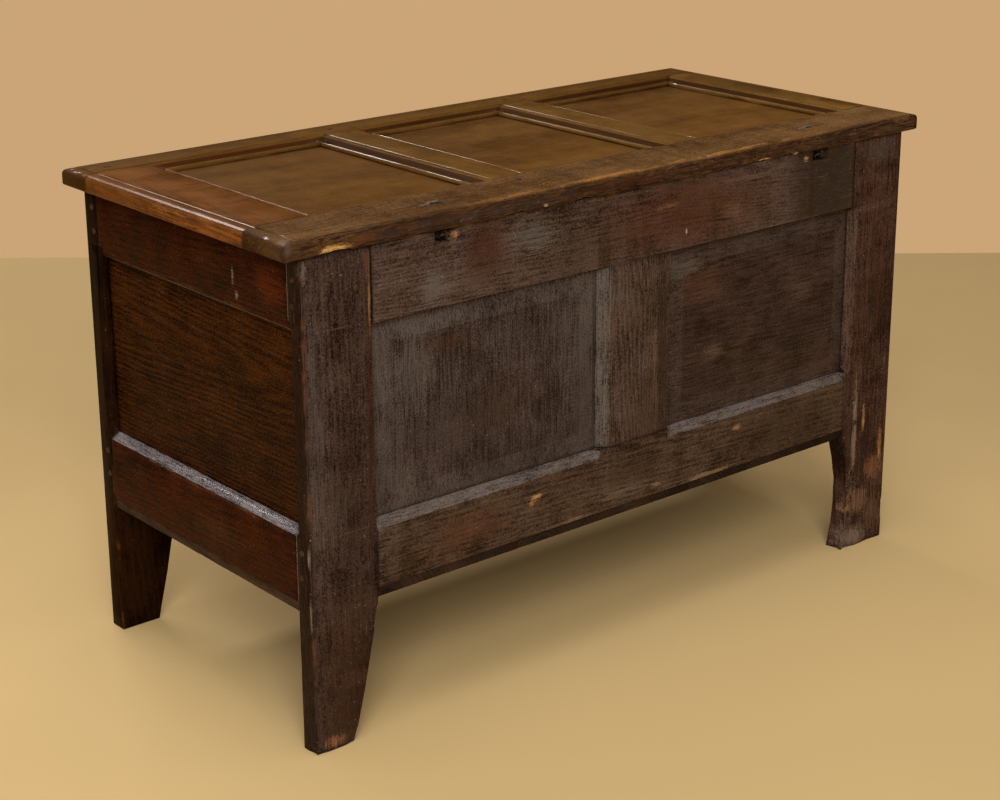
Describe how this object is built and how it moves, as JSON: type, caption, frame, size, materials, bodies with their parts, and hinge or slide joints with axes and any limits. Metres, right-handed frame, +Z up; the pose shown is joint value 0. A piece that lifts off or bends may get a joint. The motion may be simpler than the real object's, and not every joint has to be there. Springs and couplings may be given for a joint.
{
  "type": "joined oak coffer",
  "caption": "Frame-and-panel oak storage chest on four stile legs, with a three-panel moulded lid that swings up on linked iron wire eyes.",
  "frame": {"origin": "on the ground, under the middle of the whole chest with its lid shut", "axes": "+X to the right along the length as seen from the front, +Y from the front to the hinged back, +Z up"},
  "size_m": [1.182, 0.542, 0.7026],
  "materials": {
    "oak_lid": "worn wax polish",
    "oak_back": "rough, dark, unpolished",
    "oak_frame": "old wax polish",
    "oak_panel": "old wax polish",
    "oak_floor": "dry, unfinished",
    "oak_pegs": "riven, unfinished",
    "iron_wire": "dark rust"
  },
  "bodies": {
    "carcase": {"back_bottom_rail": "oak_back", "back_left_bottom_peg": "oak_pegs", "back_left_panel": "oak_back", "back_left_stile": "oak_back", "back_left_top_peg": "oak_pegs", "back_muntin": "oak_back", "back_right_bottom_peg": "oak_pegs", "back_right_panel": "oak_back", "back_right_stile": "oak_back", "back_right_top_peg": "oak_pegs", "back_top_rail": "oak_back", "floor_board_1": "oak_floor", "floor_board_2": "oak_floor", "floor_board_3": "oak_floor", "floor_board_4": "oak_floor", "floor_board_5": "oak_floor", "front_bottom_rail": "oak_frame", "front_left_bottom_peg": "oak_pegs", "front_left_muntin": "oak_frame", "front_left_panel": "oak_panel", "front_left_stile": "oak_frame", "front_left_top_peg": "oak_pegs", "front_middle_panel": "oak_panel", "front_right_bottom_peg": "oak_pegs", "front_right_muntin": "oak_frame", "front_right_panel": "oak_panel", "front_right_stile": "oak_frame", "front_right_top_peg": "oak_pegs", "front_top_rail": "oak_frame", "left_end_back_bottom_peg": "oak_pegs", "left_end_back_top_peg": "oak_pegs", "left_end_bottom_rail": "oak_frame", "left_end_front_bottom_peg": "oak_pegs", "left_end_front_top_peg": "oak_pegs", "left_end_panel": "oak_panel", "left_end_top_rail": "oak_frame", "left_hinge_lower_eye": "iron_wire", "right_end_back_bottom_peg": "oak_pegs", "right_end_back_top_peg": "oak_pegs", "right_end_bottom_rail": "oak_frame", "right_end_front_bottom_peg": "oak_pegs", "right_end_front_top_peg": "oak_pegs", "right_end_panel": "oak_panel", "right_end_top_rail": "oak_frame", "right_hinge_lower_eye": "iron_wire"},
    "lid": {"left_hinge_upper_eye": "iron_wire", "lid_back_rail": "oak_lid", "lid_front_rail": "oak_lid", "lid_left_back_peg": "oak_pegs", "lid_left_end": "oak_lid", "lid_left_front_peg": "oak_pegs", "lid_left_muntin": "oak_lid", "lid_left_panel": "oak_lid", "lid_middle_panel": "oak_lid", "lid_right_back_peg": "oak_pegs", "lid_right_end": "oak_lid", "lid_right_front_peg": "oak_pegs", "lid_right_muntin": "oak_lid", "lid_right_panel": "oak_lid", "right_hinge_upper_eye": "iron_wire"}
  },
  "joints": [
    {"name": "lid_hinge", "type": "hinge", "parent": "carcase", "child": "lid", "pos_m": [0, 0.263, 0.6675], "axis": [-1, 0, 0], "range_deg": [0, 100]}
  ]
}
